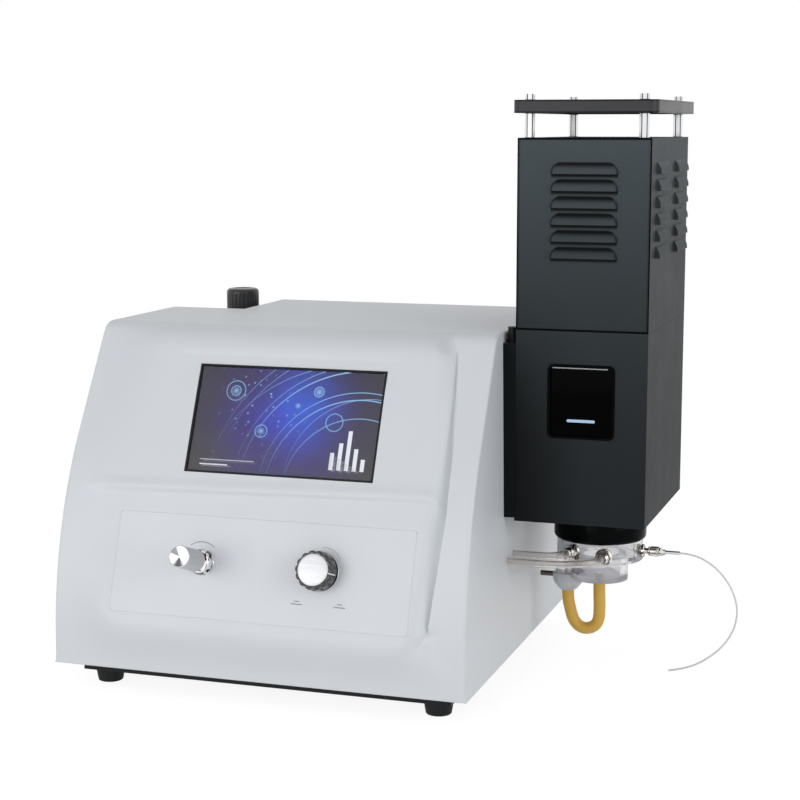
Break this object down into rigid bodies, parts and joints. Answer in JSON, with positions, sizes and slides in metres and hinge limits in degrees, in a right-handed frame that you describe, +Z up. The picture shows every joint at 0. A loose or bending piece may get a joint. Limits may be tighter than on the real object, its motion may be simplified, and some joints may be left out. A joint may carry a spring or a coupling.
{
  "type": "flame photometer",
  "caption": "Bench flame photometer: light grey cabinet with a tilted touch display and two valve knobs, and a dark burner housing with a lift-off louvred chimney on its right.",
  "frame": {"origin": "middle of the footprint (without the sample capillary) on the bench", "axes": "X to the right as seen from the display side, Y from the display to the rear panel, Z up"},
  "size_m": [0.5172, 0.3869, 0.4712],
  "materials": {
    "case_plastic": "moulded light grey plastic, fine texture",
    "tray_metal": "black painted sheet steel",
    "foot_rubber": "black rubber",
    "screw_steel": "zinc plated steel",
    "panel_metal": "light grey painted aluminium",
    "display_black": "black plastic bezel",
    "touch_glass": "clear touch glass",
    "screen_lit": "lit liquid crystal panel",
    "board_green": "green circuit board",
    "standoff_brass": "brass standoffs",
    "supply_metal": "sheet aluminium case",
    "valve_brass": "machined brass",
    "valve_chrome": "polished chrome",
    "valve_steel": "stainless steel",
    "knob_knurled": "knurled aluminium with a polished end",
    "knob_black": "black moulded plastic",
    "cap_silver": "satin silver disc",
    "regulator_black": "black fluted plastic",
    "regulator_grey": "cast aluminium",
    "bowl_clear": "clear polycarbonate",
    "inlet_black": "black plastic",
    "optics_black": "black anodised aluminium",
    "lens_glass": "optical glass",
    "filter_glass": "interference filter glass",
    "tower_slate": "dark slate powder coat on sheet steel",
    "gasket_black": "black gasket",
    "window_tint": "dark tinted glass",
    "post_steel": "bright hexagon steel",
    "collar_black": "black anodised ring",
    "burner_steel": "stainless steel",
    "igniter_black": "black insulation",
    "chamber_clear": "clear acrylic",
    "fitting_nickel": "nickel plated brass",
    "hose_clear": "clear hose",
    "latex_amber": "amber latex tube",
    "capillary_white": "fine fluoropolymer tube"
  },
  "bodies": {
    "cabinet": {"housing_shell": "case_plastic", "base_tray": "tray_metal", "rubber_feet": "foot_rubber", "cabinet_screws": "screw_steel", "rear_panel": "panel_metal", "control_plate": "panel_metal", "display_frame": "display_black", "display_glass": "touch_glass", "lit_panel": "screen_lit", "circuit_boards": "board_green", "board_standoffs": "standoff_brass", "power_supply": "supply_metal", "fine_valve_body": "valve_brass", "fine_valve_nut": "valve_chrome", "gas_valve_body": "valve_brass", "gas_valve_nut": "valve_chrome", "power_inlet": "inlet_black", "switch_frame": "inlet_black", "hose_inlets": "valve_brass", "regulator_body": "regulator_grey", "regulator_bonnet": "regulator_grey", "regulator_bowl": "bowl_clear", "regulator_bracket": "screw_steel", "optics_tube": "optics_black", "lens": "lens_glass", "filter_holder": "optics_black", "optical_filter": "filter_glass", "photodetector": "optics_black", "side_block": "tower_slate", "burner_housing": "tower_slate", "window_frame": "gasket_black", "window_glass": "window_tint", "burner_collar": "collar_black", "burner_head": "burner_steel", "igniter": "igniter_black", "mixing_chamber": "chamber_clear", "hose_barbs": "fitting_nickel", "nebulizer_body": "fitting_nickel", "nebulizer_needle": "valve_steel", "drain_cup": "chamber_clear", "drain_spout": "valve_steel", "hose_unions": "valve_brass", "air_hose": "hose_clear", "gas_hose": "hose_clear", "drain_tube": "latex_amber", "sample_capillary": "capillary_white"},
    "fine_spindle": {"fine_valve_needle": "valve_steel"},
    "fine_knob": {"fine_adjust_knob": "knob_knurled"},
    "gas_plug": {"gas_valve_plug": "valve_steel"},
    "gas_knob": {"gas_valve_knob": "knob_black", "gas_knob_cap": "cap_silver"},
    "regulator_screw": {"regulator_spindle": "valve_steel"},
    "regulator_cap": {"regulator_knob": "regulator_black"},
    "chimney": {"chimney_shell": "tower_slate", "chimney_front": "tower_slate", "cap_plate": "tower_slate", "cap_posts": "post_steel", "cap_screws": "post_steel"},
    "rocker": {"power_rocker": "knob_black"},
    "drawer": {"fuse_drawer": "inlet_black"}
  },
  "joints": [
    {"name": "fine_screw_travel", "type": "slide", "parent": "cabinet", "child": "fine_spindle", "axis": [0, -0.9461, 0.3239], "range_m": [-0.0021, 0.0028]},
    {"name": "fine_knob_turn", "type": "hinge", "parent": "fine_spindle", "child": "fine_knob", "pos_m": [-0.1078, -0.1519, 0.11102], "axis": [0, -0.9461, 0.3239], "range_deg": [-1080, 1440]},
    {"name": "gas_valve_turn", "type": "hinge", "parent": "cabinet", "child": "gas_plug", "pos_m": [-0.0098, -0.1519, 0.11102], "axis": [0, -0.9461, 0.3239], "range_deg": [-90, 180]},
    {"name": "gas_valve_push", "type": "slide", "parent": "gas_plug", "child": "gas_knob", "axis": [0, 0.9461, -0.3239], "range_m": [0, 0.004], "stiffness_N_per_m": 600, "springref_m": -0.002},
    {"name": "regulator_turn", "type": "hinge", "parent": "cabinet", "child": "regulator_screw", "pos_m": [-0.1883, 0.125, 0.29], "axis": [0, 0, 1], "range_deg": [-1080, 1080]},
    {"name": "regulator_knob_lift", "type": "slide", "parent": "regulator_screw", "child": "regulator_cap", "axis": [0, 0, 1], "range_m": [0, 0.003]},
    {"name": "chimney_lift", "type": "slide", "parent": "cabinet", "child": "chimney", "axis": [0, 0, 1], "range_m": [0, 0.05]},
    {"name": "power_switch", "type": "hinge", "parent": "cabinet", "child": "rocker", "pos_m": [0.0071, 0.168, 0.085], "axis": [1, 0, 0], "range_deg": [-9, 9]},
    {"name": "fuse_drawer_slide", "type": "slide", "parent": "cabinet", "child": "drawer", "axis": [0, 1, 0], "range_m": [0, 0.018]}
  ],
  "couplings": [
    {"joint": "fine_knob_turn", "follows": "fine_screw_travel", "rad_per_m": 8976}
  ]
}
